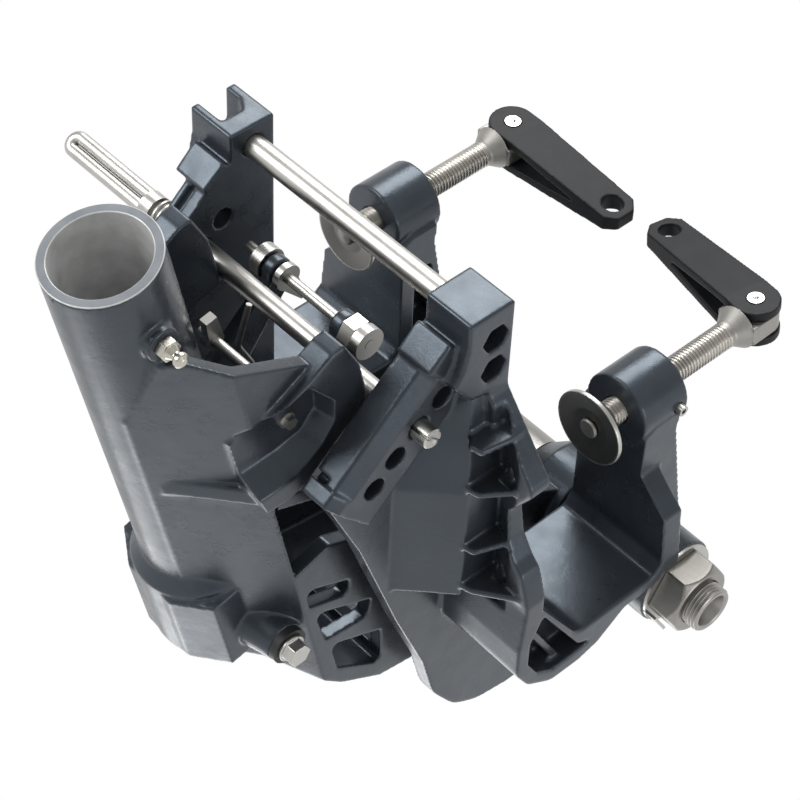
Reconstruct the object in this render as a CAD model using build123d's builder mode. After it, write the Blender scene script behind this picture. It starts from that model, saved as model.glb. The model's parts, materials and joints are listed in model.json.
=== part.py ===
from build123d import *
import os
from math import cos, radians, sin, tan

os.makedirs("parts", exist_ok=True)

# In-use frame in mm: +X starboard, +Y forward, +Z up, origin on the tilt axis midway between the brackets.

# Clamp brackets
half_gap = 56.0             # mid-plane to the inner face of a plate
plate_wall = 9.0            # thickness of the side plate
transom_y = -92.5           # face that bears on the aft side of the transom
flange_wall = 4.5           # least thickness of the transom flange, beside its spine
flange_rim = 10.4           # thickness of the flange's outboard rim
spine_reach = 85.5          # mid-plane to the outboard face of the flange's spine
spine_reach_low = 78.0      # the same beside the end block, where the spine is lower
transom_hole_x = 93.0       # mid-plane to the transom bolt holes
transom_hole_low_z = -134.0
transom_hole_high_z = -76.0
transom_hole_radius = 4.0
hook_reach = 111.0          # mid-plane to the outboard face of the hook
roof_z = -27.0              # underside of the hook, over the transom's top
arm_aft_y = -18.5           # aft face of the forward arm
arm_reach = 92.0            # mid-plane to the outboard side of the arm's forward part
tilt_boss_radius = 21.0
tilt_boss_end = 105.0       # mid-plane to the end face of the tilt boss

# End block and tie rod
block_reach = 80.2          # mid-plane to the outboard face of the block
block_aft_y = -115.0
block_bottom_z = -215.0
block_height = 44.8
tie_rod_radius = 5.0
tie_rod_y = -103.3
tie_rod_z = -204.5
tie_rod_seat = 12.0         # depth of the blind seat in each block

# Rail with the tilt pin holes
rail_start_y = -123.0       # lower end of the rail's aft face
rail_start_z = -197.0
rail_slope = 42.3           # rise of the rail's aft face above level, degrees
rail_length = 64.0
rail_depth = 30.0
rail_reach = 72.0           # mid-plane to the face with the holes
rail_chamfer = 4.0
pin_arc_radius = 211.5      # tilt axis to the centres of the pin holes
pin_angle = 38.2            # from straight down, towards aft, hole in use
pin_hole_pitch = 3.9        # degrees between holes
pin_hole_radius = 4.85
pin_radius = 4.45

# Clamp bosses, screws, pads and handles
clamp_x = 75.0
clamp_z = -100.1
clamp_boss_aft_y = -19.5
clamp_boss_length = 25.6
clamp_boss_radius = 16.7
screw_radius = 6.0
screw_fit = 0.05
pivot_y = 65.5              # centre of the handle pin
eye_radius = 10.4
eye_thickness = 9.0
pad_radius = 17.5
pad_back_y = -30.0          # forward side of the pad's socket
pad_rim_y = -36.0           # aft side of the pad's rim
spigot_radius = 3.0
handle_length = 64.0        # pin to the hole in the tip
handle_tip = 9.0
handle_end_radius = 11.0
handle_half_thickness = 9.0
handle_tip_half = 3.2
handle_cheek = 4.2
handle_hole_radius = 5.0
handle_pin_radius = 3.7
fold_port = 12.0            # degrees forward of square to the screw
roll_port = 7.0             # degrees that the port screw is turned
fold_starboard = 0.0
roll_starboard = 0.0

# Tilt tube
tilt_tube_radius = 11.1
tilt_tube_bore = 8.0
tilt_tube_end = 127.5
tilt_washer_radius = 20.0
tilt_washer_wall = 1.5
tilt_nut_flats = 31.75
tilt_nut_height = 14.0
bush_wall = 2.9
bush_flange_radius = 19.0
bush_flange_wall = 5.7
bush_length = 24.0
sleeve_radius = 15.0
sleeve_half = 18.8

# Swivel bracket
hub_radius = 24.5
hub_wall = 19.0             # length of a hub's full radius
hub_shoulder = 31.0         # length from a hub's end to the foot of its shoulder
tube_mouth_y = -219.2
tube_mouth_z = -258.4
tube_lean = 11.77           # lean of the steering axis from upright, degrees
tube_length = 234.0
tube_radius = 23.0
tube_bore = 19.2
head_start = 186.0
head_flare = 7.0            # length over which the tube widens to its head
head_radius = 28.0
side_reach = 45.0           # mid-plane to the outer side of the arms
side_wall = 7.0
wing_rise = 5.0             # how far the wings stand proud of the arms
tray_depth = 5.0            # arms' outer side to the floor of the tray in each wing

# Clearances
running_gap = 0.05
side_gap = 0.3

# Small hardware
lock_y = -112.0
lock_z = -160.4
lock_radius = 2.3
lock_port_end = -24.0
lock_starboard_end = 49.0
side_bolt_y = -173.0
side_bolt_z = -44.0
side_boss_radius = 9.0
side_boss_root = 14.0       # radius of the cone where it leaves the head
nipple_z = -230.0
nipple_hex = 8.0
nipple_thread_radius = 2.5
set_screw_y = 1.0
set_screw_radius = 2.5
lever_y = -182.0
lever_z = -203.0
lever_radius = 2.2
lever_cover = 3.0           # wall left outboard of the lever shaft's seat
wing_screw_y = -169.0
wing_screw_z = -172.0
wing_screw_radius = 1.6
washer_wall = 1.1

rail_rise = radians(rail_slope)
rail_along = (0, -cos(rail_rise), sin(rail_rise))
tube_along = (0, sin(radians(tube_lean)), cos(radians(tube_lean)))
tube_plane = Plane(origin=(0, tube_mouth_y, tube_mouth_z), x_dir=(1, 0, 0), z_dir=tube_along)
pin_y = -pin_arc_radius * sin(radians(pin_angle))
pin_z = -pin_arc_radius * cos(radians(pin_angle))
block_top_z = block_bottom_z + block_height
rim_aft_y = transom_y - flange_rim
bush_outer = tilt_tube_radius + running_gap + bush_wall
barrel_half = half_gap - bush_flange_wall - side_gap
wing_reach = side_reach + wing_rise
side_boss_end = side_reach - 1
tray_reach = side_reach - tray_depth


def tube_axis_y(z):
    """Y of the steering axis at height z."""
    return tube_mouth_y + (z - tube_mouth_z) * tan(radians(tube_lean))


def hole_place(step):
    """Y and Z of a tilt pin hole, counted in steps from the one in use."""
    angle = radians(pin_angle + step * pin_hole_pitch)
    return -pin_arc_radius * sin(angle), -pin_arc_radius * cos(angle)


# Clamp brackets, one casting a side
plate_points = [
    (transom_y, -206), (-110, -206), (-122, -194), (-164, -156), (-169, -146), (-167, -137),
    (-151.5, -102), (-130, -41), (-113, 2), (-106, 29), (-92, 50), (-77.5, 58.5), (-54, 63),
    (-25, 55), (-2, 20), (10, 0), (2, -15), (arm_aft_y, roof_z), (-69.5, roof_z), (transom_y, -62),
]
hook_points = [
    (rim_aft_y, -66), (-105.1, -43), (-105, -28), (-97, -15), (-83, -6), (-66, -6), (-55, -9),
    (-40, -20), (-23, -20), (arm_aft_y + 1, -22), (arm_aft_y, -33),
    (-24, roof_z), (-69.5, roof_z), (transom_y, -62), (transom_y, -66),
]
arm_points = [
    (arm_aft_y, -15), (arm_aft_y, clamp_z + 5), (-12, clamp_z + 2), (2, clamp_z + 2),
    (1.3, -86.7), (10.1, -38.6), (14.5, -18.5), (17, -5), (0, 5), (-14, -2),
]
# Outline of the arm's wide aft part, |x| and z
arm_flare_points = [
    (half_gap, clamp_z + 6), (89, clamp_z + 6), (88, -76),
    (108, -57), (110.5, -32), (110.5, -24), (half_gap, -24),
]
arm_flare_wall = 11.0
hook_pocket_depth = 13.0
hook_web_drop = 5.0         # depth of the rib between the hook's two pockets
flange_points = [
    (half_gap, -206), (block_reach - 1, -206), (block_reach - 0.5, -174),
    (81, -170), (106.6, -138), (106.6, -134),
    (98.1, -120.7), (93.4, -114.6), (96.1, -98.8),
    (101.5, -90.2), (106, -86), (108, -80.5), (hook_reach, -70),
    (hook_reach, -61), (half_gap, -61),
]
rib_tips = [(-155, 93), (-130.5, 99.5), (-96, 95.5), (-72, 108)]
rib_wall = 3.0
spine_low_z = -172.0
spine_full_z = -128.0       # height at which the spine has its full reach
spine_high_z = -66.0

for side, hand in ((-1, "port"), (1, "starboard")):
    rail_plane = Plane(
        origin=(0, rail_start_y, rail_start_z), x_dir=(1, 0, 0), z_dir=rail_along
    )
    with BuildPart() as bracket:
        # Side plate
        with BuildSketch(Plane.YZ.offset(side * half_gap)) as plate_face:
            Polygon(*plate_points, align=None)
            fillet(plate_face.vertices().group_by(Axis.Y)[0], 6)
            fillet(plate_face.vertices().filter_by_position(Axis.Y, 25, 70), 28)
        extrude(amount=side * plate_wall)
        # Hook over the transom
        with BuildSketch(Plane.YZ.offset(side * half_gap)) as hook_face:
            Polygon(*hook_points, align=None)
            fillet(hook_face.vertices().filter_by_position(Axis.X, -106, -60).filter_by_position(Axis.Y, -30, -4), 9)
        extrude(amount=side * (hook_reach - half_gap))
        # Forward arm down to the clamp boss
        with BuildSketch(Plane.YZ.offset(side * half_gap)):
            Polygon(*arm_points, align=None)
        extrude(amount=side * (arm_reach - half_gap))
        with BuildSketch(Plane.XZ.offset(-arm_aft_y - arm_flare_wall)):
            Polygon(*[(side * x, z) for x, z in arm_flare_points], align=None)
        extrude(amount=arm_flare_wall)
        # Tilt boss
        with BuildSketch(Plane.YZ.offset(side * half_gap)):
            Circle(tilt_boss_radius)
        extrude(amount=side * (tilt_boss_end - half_gap))
        # Clamp boss
        with BuildSketch(
            Plane((side * clamp_x, clamp_boss_aft_y, clamp_z), x_dir=(1, 0, 0), z_dir=(0, 1, 0))
        ):
            Circle(clamp_boss_radius)
        extrude(amount=clamp_boss_length)
        # End block
        with BuildSketch(Plane.YZ.offset(side * half_gap)) as block_face:
            Polygon(
                (transom_y, block_bottom_z), (block_aft_y, block_bottom_z), (block_aft_y, -202),
                (-117, -193), (-121, -186), (-112, block_top_z - 4), (transom_y, block_top_z), align=None,
            )
        extrude(amount=side * (block_reach - half_gap))
        # Rail for the tilt pin, with its chamfered aft edge
        with BuildSketch(rail_plane):
            Polygon(
                (side * half_gap, 0), (side * (rail_reach - rail_chamfer), 0), (side * rail_reach, 8),
                (side * rail_reach, rail_depth), (side * half_gap, rail_depth), align=None,
            )
        extrude(amount=rail_length)
        # Raised seat between rail and block, and the lip at the rail's upper end
        with BuildSketch(rail_plane.offset(-8)):
            Polygon(
                (side * half_gap, -2), (side * (rail_reach + 2), -2), (side * (rail_reach + 2), rail_depth),
                (side * half_gap, rail_depth), align=None,
            )
        extrude(amount=14)
        with BuildSketch(rail_plane.offset(rail_length - 1)):
            Polygon(
                (side * half_gap, -1), (side * (rail_reach - 3), -1), (side * rail_reach, 6),
                (side * rail_reach, rail_depth), (side * half_gap, rail_depth), align=None,
            )
        extrude(amount=7)
        with BuildSketch(rail_plane.offset(rail_length - 4)):
            Polygon(
                (side * (half_gap - 1), -3), (side * (half_gap + 7), -3), (side * (half_gap + 7), 4),
                (side * (half_gap - 1), 4), align=None,
            )
        extrude(amount=3, mode=Mode.SUBTRACT)
        # Transom flange, hollowed between its rim and its spine, and its ribs
        with BuildSketch(Plane.XZ.offset(-transom_y)) as flange_face:
            Polygon(*[(side * x, z) for x, z in flange_points], align=None)
            fillet(flange_face.vertices().filter_by_position(Axis.Y, -140, -78), 5)
        extrude(amount=flange_rim)
        with BuildSketch(Plane.XY.offset(spine_low_z + 3)):
            Polygon(
                (side * (spine_reach - 2), transom_y - flange_wall),
                (side * spine_reach, transom_y - flange_wall),
                (side * (hook_reach - 10), rim_aft_y - 1), (side * (spine_reach - 2),
                rim_aft_y - 1), align=None,
            )
        extrude(amount=spine_high_z - spine_low_z + 4, mode=Mode.SUBTRACT)
        spine_sections = []
        for level, reach, rise, foot in (
            (spine_low_z, spine_reach_low, 7, 12), (spine_full_z, spine_reach, 12.6, 33)
        ):
            with BuildSketch(Plane.XY.offset(level)) as spine_face:
                Polygon(
                    (side * (half_gap + 4), transom_y - 2), (side * reach, transom_y - 2),
                    (side * reach, rim_aft_y - rise), (side * (half_gap + plate_wall - 0.5), rim_aft_y - foot),
                    (side * (half_gap + 4), rim_aft_y - foot), align=None,
                )
            spine_sections.append(spine_face.sketch)
        loft(spine_sections)
        extrude(spine_sections[1], amount=spine_high_z - spine_full_z)
        for rib_z, rib_x in rib_tips:
            with BuildSketch(Plane.XY.offset(rib_z - rib_wall / 2)):
                Polygon(
                    (side * (spine_reach - 6), transom_y - 3), (side * (spine_reach - 6), rim_aft_y - 8),
                    (side * (spine_reach - 1), rim_aft_y - 13.5),
                    (side * (spine_reach + 5), rim_aft_y - 12),
                    (side * rib_x, rim_aft_y + 0.5), (side * rib_x, transom_y - 3), align=None,
                )
            extrude(amount=rib_wall)
        # Two slanted pockets in the hook's aft corner, open outboard
        with BuildSketch(Plane.YZ.offset(side * (hook_reach - hook_pocket_depth))):
            Polygon((-91.8, -56.5), (-68, -18.5), (-60, -14.5), (-74.5, -13.5), (-91.8, -44.5), align=None)
            Polygon(
                (-94.5, -41.7), (-79.5, -15.5), (-82.5, -13.5), (-92, -19.5), (-98, -30),
                (-98, -43.4), align=None,
            )
        extrude(amount=side * (hook_pocket_depth + 1), mode=Mode.SUBTRACT)
        with BuildSketch(Plane.YZ.offset(side * (hook_reach - hook_web_drop))):
            Polygon(
                (-91.8, -56.5), (-68, -18.5), (-60, -14.5), (-82.5, -13.5), (-92, -19.5),
                (-98, -30), (-98, -43.4), align=None,
            )
        extrude(amount=side * (hook_web_drop + 1), mode=Mode.SUBTRACT)
        # Recess in the inboard side of the arm
        with BuildSketch(Plane.YZ.offset(side * half_gap)) as arm_recess:
            Polygon((-10, -76), (-1, -76), (6, -34), (-10, -34), align=None)
            fillet(arm_recess.vertices(), 3)
        extrude(amount=side * 14, mode=Mode.SUBTRACT)
        # Bores: tilt tube, clamp screw, tilt pin holes, tie rod seat, transom bolts
        with BuildSketch(Plane.YZ.offset(side * (half_gap - 1))):
            Circle(tilt_tube_radius + running_gap)
        extrude(amount=side * (tilt_boss_end - half_gap + 2), mode=Mode.SUBTRACT)
        with BuildSketch(
            Plane((side * clamp_x, clamp_boss_aft_y - 1, clamp_z), x_dir=(1, 0, 0), z_dir=(0, 1, 0))
        ):
            Circle(screw_radius + screw_fit)
        extrude(amount=clamp_boss_length + 2, mode=Mode.SUBTRACT)
        with BuildSketch(Plane.YZ.offset(side * (half_gap - 1))):
            for step in (-1, 0, 1, 2):
                with Locations(hole_place(step)):
                    Circle(pin_hole_radius)
        extrude(amount=side * (rail_reach - half_gap + 4), mode=Mode.SUBTRACT)
        with BuildSketch(Plane.YZ.offset(side * (half_gap - 1))):
            with Locations((tie_rod_y, tie_rod_z)):
                Circle(tie_rod_radius + running_gap)
        extrude(amount=side * (tie_rod_seat + 1), mode=Mode.SUBTRACT)
        with BuildSketch(Plane.XZ.offset(-transom_y - 1)):
            with Locations((side * transom_hole_x, transom_hole_low_z), (side * transom_hole_x, transom_hole_high_z)):
                Circle(transom_hole_radius)
        extrude(amount=flange_rim + 2, mode=Mode.SUBTRACT)
        with BuildSketch(Plane.YZ.offset(side * (clamp_x + screw_radius))):
            with Locations((set_screw_y, clamp_z)):
                Circle(set_screw_radius)
        extrude(amount=side * clamp_boss_radius, mode=Mode.SUBTRACT)
        if side < 0:
            # Two hex pockets in the outboard face
            with BuildSketch(Plane.YZ.offset(-block_reach)):
                with Locations((-101, -200), (-101, -184)):
                    RegularPolygon(6.5, 6)
            extrude(amount=9, mode=Mode.SUBTRACT)
        else:
            # Channel open at the end and outboard, and the groove along the rail
            with BuildSketch(Plane.XY.offset(block_bottom_z)):
                Polygon((66, -111), (81, -111), (81, -97), (72, -97), (66, -101), align=None)
            extrude(amount=16, mode=Mode.SUBTRACT)
            with BuildSketch(rail_plane.offset(7)):
                Polygon((62, -1), (65, -1), (65, 3), (62, 3), align=None)
            extrude(amount=rail_length - 12, mode=Mode.SUBTRACT)
    bracket.part.label = "clamp_bracket_" + hand
    export_step(bracket.part, "parts/clamp_bracket_" + hand + ".step")

# Swivel bracket
side_silhouette = [
    (-217, -222), (-209, -223.5), (-150, -194), (-145, -196), (-136.5, -170), (-135.5, -163), (-147, -169),
    (-160, -163), (-172, -153), (-178, -140), (-178, -129), (-168, -82), (-150, -88), (-60, -48),
    (-12, -18), (-8, 18), (-60, 36), (-119, 25), (-141, 11), (-172, -19), (-200, -30), (-230, -150),
]
cavity_silhouette = [
    (-240, -262), (-110, -262), (-110, -110), (-52, -52), (-34, -20), (-60, 22), (-112, 12),
    (-138, -4), (-160, -30), (-200, -60),
]
window_1 = [(-162, -68), (-139, -57), (-139, -48), (-160, -56)]
window_2 = [(-157, -49), (-126, -34), (-128, -24), (-151, -27)]
window_3 = [(-148, -21), (-120, -8), (-119, 15), (-144, -2)]

inner_reach = side_reach - side_wall

# Hollow between the arms, open forward and down, with a flared wall of the same thickness as the sides
with BuildPart() as side_hollow:
    with BuildSketch(tube_plane.offset(-10)):
        Polygon((9, -14), (inner_reach, 16.3), (inner_reach, 300), (-inner_reach, 300),
                (-inner_reach, 16.3), (-9, -14), align=None)
    extrude(amount=tube_length + 140)
    with BuildSketch(Plane.YZ):
        Polygon(*cavity_silhouette, align=None)
    extrude(amount=side_reach, both=True, mode=Mode.INTERSECT)

with BuildPart() as swivel:
    # Flared body between the tube and the side arms, cut to the side outline
    with BuildSketch(tube_plane.offset(24)):
        Polygon((14, -19), (side_reach, 13.5), (side_reach, 262), (-side_reach, 262), (-side_reach, 13.5),
                (-14, -19), align=None)
    extrude(amount=tube_length + 120)
    with BuildSketch(Plane.YZ):
        Polygon(*side_silhouette, align=None)
    extrude(amount=side_reach + 1, both=True, mode=Mode.INTERSECT)
    add(side_hollow.part, mode=Mode.SUBTRACT)
    # Open space between the two hubs, forward of the arms' hollow
    with BuildSketch(Plane.YZ.offset(hub_shoulder - barrel_half)):
        Polygon((-62, -62), (30, -62), (30, 45), (-62, 45), align=None)
    extrude(amount=2 * (barrel_half - hub_shoulder), mode=Mode.SUBTRACT)
    # Curved ledge and wing end blocks standing proud of the sides, round a shallow tray
    for side in (-1, 1):
        with BuildSketch(Plane.YZ.offset(side * (side_reach - side_wall))) as ledge_face:
            Polygon(
                (-190, -149), (-196, -176), (-182, -188), (-166, -197), (-155, -204), (-149, -205),
                (-141, -190),
                (-136.6, -171), (-136.2, -161), (-147, -159), (-156, -151), (-167, -142),
                (-175, -139), (-186, -139),
                align=None,
            )
        extrude(amount=side * (wing_reach - side_reach + side_wall))
        with BuildSketch(Plane.XY.offset(-149)):
            Polygon(
                (side * 18, -211), (side * wing_reach, -184), (side * wing_reach, -172), (side * 30, -172),
                (side * 10, -200), align=None,
            )
        extrude(amount=8)
        with BuildSketch(Plane.YZ.offset(side * tray_reach)):
            Polygon(
                (-199, -179), (-177, -184), (-165, -188), (-156, -178), (-155.5, -169),
                (-162, -161), (-174, -159),
                (-194, -158), align=None,
            )
        with BuildSketch(Plane.YZ.offset(side * (wing_reach + 1))):
            Polygon(
                (-206, -186), (-181, -190), (-166, -195), (-152.5, -178), (-152.5, -168),
                (-159, -158), (-172, -148.5),
                (-198, -147), align=None,
            )
        loft(ruled=True, mode=Mode.SUBTRACT)
    # Steering tube and its head
    with BuildSketch(tube_plane):
        Circle(tube_radius)
    extrude(amount=tube_length)
    with BuildSketch(tube_plane.offset(head_start - head_flare)):
        Circle(tube_radius - 0.5)
    with BuildSketch(tube_plane.offset(head_start)):
        Circle(head_radius)
    loft()
    with BuildSketch(tube_plane.offset(head_start)):
        Circle(head_radius)
    extrude(amount=tube_length - head_start)
    with BuildSketch(tube_plane.offset(head_start + 3)):
        Polygon(
            (-13, -27), (13, -27), (29, -16.5), (29, 12), (-29, 12), (-29, -16.5), align=None,
        )
    extrude(amount=tube_length - head_start - 4)
    # Two hubs on the tilt tube, each with a shoulder on its inner side
    with BuildSketch(Plane.XY):
        for side in (-1, 1):
            Polygon(
                (side * barrel_half, 0), (side * barrel_half, hub_radius),
                (side * (barrel_half - hub_wall), hub_radius),
                (side * (barrel_half - hub_shoulder), sleeve_radius),
                (side * (barrel_half - hub_shoulder), 0), align=None,
            )
    revolve(axis=Axis.X)
    # Cross web and the two lugs of the lock shaft
    with BuildSketch(Plane.YZ.offset(-side_reach + 1)):
        Polygon((-176, -128), (-136, -112), (-134, -118), (-176, -136), align=None)
    extrude(amount=2 * side_reach - 2)
    for lug_x in (-12, 29):
        with BuildSketch(Plane.YZ.offset(lug_x)):
            Polygon((-150, -128), (-136, -112), (-108, -150), (-116, -160), align=None)
            with Locations((lock_y, lock_z)):
                Circle(6)
            Polygon((-117.5, -157), (-108, -152), (-106.5, -158), (-115, -165), align=None)
        extrude(amount=6)
    # Side boss on the head, and the nipple boss on the tube
    with BuildSketch(Plane((0, side_bolt_y, side_bolt_z), x_dir=(-1, 0, 0), z_dir=(0, 0, 1))):
        Polygon(
            (tube_radius - 2, 0), (tube_radius - 2, side_boss_root), (side_boss_end, side_boss_radius),
            (side_boss_end, 0), align=None,
        )
    revolve(axis=Axis((0, side_bolt_y, side_bolt_z), (1, 0, 0)))
    with BuildSketch(Plane.YZ.offset(-tube_radius - 3.5)):
        with Locations((tube_axis_y(nipple_z), nipple_z)):
            Circle(7)
    extrude(amount=8)
    # Windows in the sides
    with BuildSketch(Plane.YZ.offset(-wing_reach)) as windows:
        Polygon(*window_1, align=None)
        Polygon(*window_2, align=None)
        Polygon(*window_3, align=None)
        fillet(windows.vertices(), 2.5)
    extrude(amount=2 * wing_reach, mode=Mode.SUBTRACT)
    # Bores
    with BuildSketch(tube_plane.offset(-1)):
        Circle(tube_bore)
    extrude(amount=tube_length + 2, mode=Mode.SUBTRACT)
    with BuildSketch(Plane.YZ.offset(-barrel_half - 1)):
        Circle(bush_outer + running_gap)
    extrude(amount=2 * barrel_half + 2, mode=Mode.SUBTRACT)
    with BuildSketch(Plane.YZ.offset(-side_reach)):
        with Locations((lock_y, lock_z)):
            Circle(lock_radius + running_gap)
    extrude(amount=2 * side_reach, mode=Mode.SUBTRACT)
    with BuildSketch(Plane.YZ.offset(-side_boss_end - 1)):
        with Locations((side_bolt_y, side_bolt_z)):
            Circle(3.05)
    extrude(amount=16, mode=Mode.SUBTRACT)
    with BuildSketch(Plane.YZ.offset(-tube_radius - 4)):
        with Locations((tube_axis_y(nipple_z), nipple_z)):
            Circle(nipple_thread_radius)
    extrude(amount=4 + tube_radius - tube_bore - 1, mode=Mode.SUBTRACT)
    with BuildSketch(Plane.YZ.offset(-side_reach + lever_cover)):
        with Locations((lever_y, lever_z)):
            Circle(lever_radius + running_gap)
    extrude(amount=side_wall + 1 - lever_cover, mode=Mode.SUBTRACT)
    with BuildSketch(Plane.YZ.offset(-wing_reach)):
        with Locations((wing_screw_y, wing_screw_z)):
            Circle(wing_screw_radius)
    extrude(amount=2 * wing_reach, mode=Mode.SUBTRACT)
swivel.part.label = "swivel_bracket"
export_step(swivel.part, "parts/swivel_bracket.step")

# Tilt tube with its nuts, tab washers and barrel bushes
with BuildPart() as tilt_tube:
    with BuildSketch(Plane.YZ.offset(-tilt_tube_end)):
        Circle(tilt_tube_radius)
        Circle(tilt_tube_bore, mode=Mode.SUBTRACT)
    extrude(amount=2 * tilt_tube_end)
    chamfer(tilt_tube.edges().filter_by(GeomType.CIRCLE), 0.8)
tilt_tube.part.label = "tilt_tube"
export_step(tilt_tube.part, "parts/tilt_tube.step")

washer_start = tilt_boss_end
nut_start = tilt_boss_end + tilt_washer_wall
nut_end = nut_start + tilt_nut_height
nut_corner = tilt_nut_flats / 2 / cos(radians(30))

with BuildPart() as tilt_nuts:
    for side in (-1, 1):
        with BuildSketch(Plane.YZ.offset(side * nut_start)):
            RegularPolygon(nut_corner, 6)
            Circle(tilt_tube_radius + running_gap, mode=Mode.SUBTRACT)
        extrude(amount=side * tilt_nut_height)
    # Turned chamfer on the outer corners
    with BuildSketch(Plane.XY):
        Polygon(
            (-nut_end, 0), (-nut_end, nut_corner - 3),
            (-nut_end + 3.2, nut_corner), (nut_end - 3.2, nut_corner),
            (nut_end, nut_corner - 3), (nut_end, 0), align=None,
        )
    revolve(axis=Axis.X, mode=Mode.INTERSECT)
tilt_nuts.part.label = "tilt_tube_nuts"
export_step(tilt_nuts.part, "parts/tilt_tube_nuts.step")

with BuildPart() as tilt_washers:
    for side in (-1, 1):
        with BuildSketch(Plane.YZ.offset(side * washer_start)):
            Circle(tilt_washer_radius)
            Circle(tilt_tube_radius + running_gap, mode=Mode.SUBTRACT)
        extrude(amount=side * tilt_washer_wall)
        # Locking tab turned out over the nut's edge
        with BuildSketch(Plane.YZ.offset(side * washer_start)):
            Polygon((-18.9, 3), (-11, 16.2), (-12.2, 17.2), (-19.8, 4), align=None)
        extrude(amount=side * (tilt_washer_wall + 6))
tilt_washers.part.label = "tilt_tube_washers"
export_step(tilt_washers.part, "parts/tilt_tube_washers.step")

for side, hand in ((-1, "port"), (1, "starboard")):
    with BuildPart() as tilt_bush:
        with BuildSketch(Plane.YZ.offset(side * (barrel_half - bush_length))):
            Circle(bush_outer)
        extrude(amount=side * bush_length)
        with BuildSketch(Plane.YZ.offset(side * barrel_half)):
            Circle(bush_flange_radius)
        extrude(amount=side * bush_flange_wall)
        with BuildSketch(Plane.YZ.offset(side * (barrel_half - bush_length - 1))):
            Circle(tilt_tube_radius + running_gap)
        extrude(amount=side * (bush_length + half_gap - barrel_half + 2), mode=Mode.SUBTRACT)
    tilt_bush.part.label = "tilt_bush_" + hand
    export_step(tilt_bush.part, "parts/tilt_bush_" + hand + ".step")

# Bare sleeve round the tilt tube, between the hubs
with BuildPart() as tilt_sleeve:
    with BuildSketch(Plane.YZ.offset(-sleeve_half)):
        Circle(sleeve_radius)
        Circle(tilt_tube_radius + running_gap, mode=Mode.SUBTRACT)
    extrude(amount=2 * sleeve_half)
tilt_sleeve.part.label = "tilt_tube_sleeve"
export_step(tilt_sleeve.part, "parts/tilt_tube_sleeve.step")

# Tie rod between the end blocks
with BuildPart() as tie_rod:
    with BuildSketch(Plane.YZ.offset(-half_gap - tie_rod_seat)):
        with Locations((tie_rod_y, tie_rod_z)):
            Circle(tie_rod_radius)
    extrude(amount=2 * (half_gap + tie_rod_seat))
tie_rod.part.label = "tie_rod"
export_step(tie_rod.part, "parts/tie_rod.step")

# Tilt pin, pulled out to starboard by its bent handle
pin_tip = -rail_reach - 8.0
pin_tail = rail_reach + 14.0
slot_wall = 1.6
slot_depth = 10.0
with BuildPart() as tilt_pin:
    with BuildSketch(Plane.YZ.offset(pin_tip)):
        with Locations((pin_y, pin_z)):
            Circle(pin_radius)
    extrude(amount=pin_tail - pin_tip)
    chamfer(tilt_pin.edges().filter_by(GeomType.CIRCLE), 0.6)
    with BuildSketch(Plane.YZ.offset(pin_tip - 1)):
        with Locations(Location((pin_y, pin_z), 40)):
            Rectangle(2 * pin_radius + 2, slot_wall)
    extrude(amount=slot_depth + 1, mode=Mode.SUBTRACT)
tilt_pin.part.label = "tilt_pin"
export_step(tilt_pin.part, "parts/tilt_pin.step")

slot_turn = radians(40)
slot_normal = (0, -sin(slot_turn), cos(slot_turn))
toggle_wall = slot_wall - 0.2
toggle_length = 11.0
toggle_width = 4.4
toggle_x = pin_tip + 4.0
with BuildPart() as tilt_pin_toggle:
    with BuildSketch(Plane(origin=(toggle_x, pin_y, pin_z), x_dir=(1, 0, 0), z_dir=slot_normal)):
        SlotOverall(toggle_length, toggle_width)
    extrude(amount=toggle_wall / 2, both=True)
tilt_pin_toggle.part.label = "tilt_pin_toggle"
export_step(tilt_pin_toggle.part, "parts/tilt_pin_toggle.step")

wire_radius = 2.9
collar_radius = 6.4
collar_overlap = 3.0
loop_half = 3.0
loop_end = 139.0
loop_start = pin_tail + 0.4
handle_wire = Plane(origin=(0, pin_y, pin_z), x_dir=(1, 0, 0), z_dir=(0, 0.55, 0.84))
with BuildPart() as tilt_pin_handle:
    with BuildLine(handle_wire) as loop_path:
        Line((loop_start, loop_half), (loop_end - loop_half, loop_half))
        ThreePointArc((loop_end - loop_half, loop_half), (loop_end, 0), (loop_end - loop_half, -loop_half))
        Line((loop_end - loop_half, -loop_half), (loop_start, -loop_half))
    with BuildSketch(Plane(origin=loop_path.line @ 0, z_dir=(1, 0, 0))):
        Circle(wire_radius)
    sweep()
    # Collar that grips the pin's tail
    with BuildSketch(Plane.YZ.offset(pin_tail - collar_overlap)):
        with Locations((pin_y, pin_z)):
            Circle(collar_radius)
            Circle(pin_radius, mode=Mode.SUBTRACT)
    extrude(amount=collar_overlap)
    with BuildSketch(Plane.YZ.offset(pin_tail)):
        with Locations((pin_y, pin_z)):
            Circle(collar_radius)
    extrude(amount=3)
tilt_pin_handle.part.label = "tilt_pin_handle"
export_step(tilt_pin_handle.part, "parts/tilt_pin_handle.step")

# Coiled wire clip on the pin, between the rail and the collar
clip_radius = 1.2
clip_pitch = 2.6
clip_start = rail_reach + 4.2
coil_radius = pin_radius + clip_radius + running_gap
with BuildPart() as tilt_pin_clip:
    with BuildLine() as coil_path:
        Helix(clip_pitch, 2 * clip_pitch, coil_radius, center=(clip_start, pin_y, pin_z), direction=(1, 0, 0))
    with BuildSketch(Plane(origin=coil_path.line @ 0, z_dir=coil_path.line % 0)):
        Circle(clip_radius)
    sweep(is_frenet=True)
tilt_pin_clip.part.label = "tilt_pin_clip"
export_step(tilt_pin_clip.part, "parts/tilt_pin_clip.step")

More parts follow.
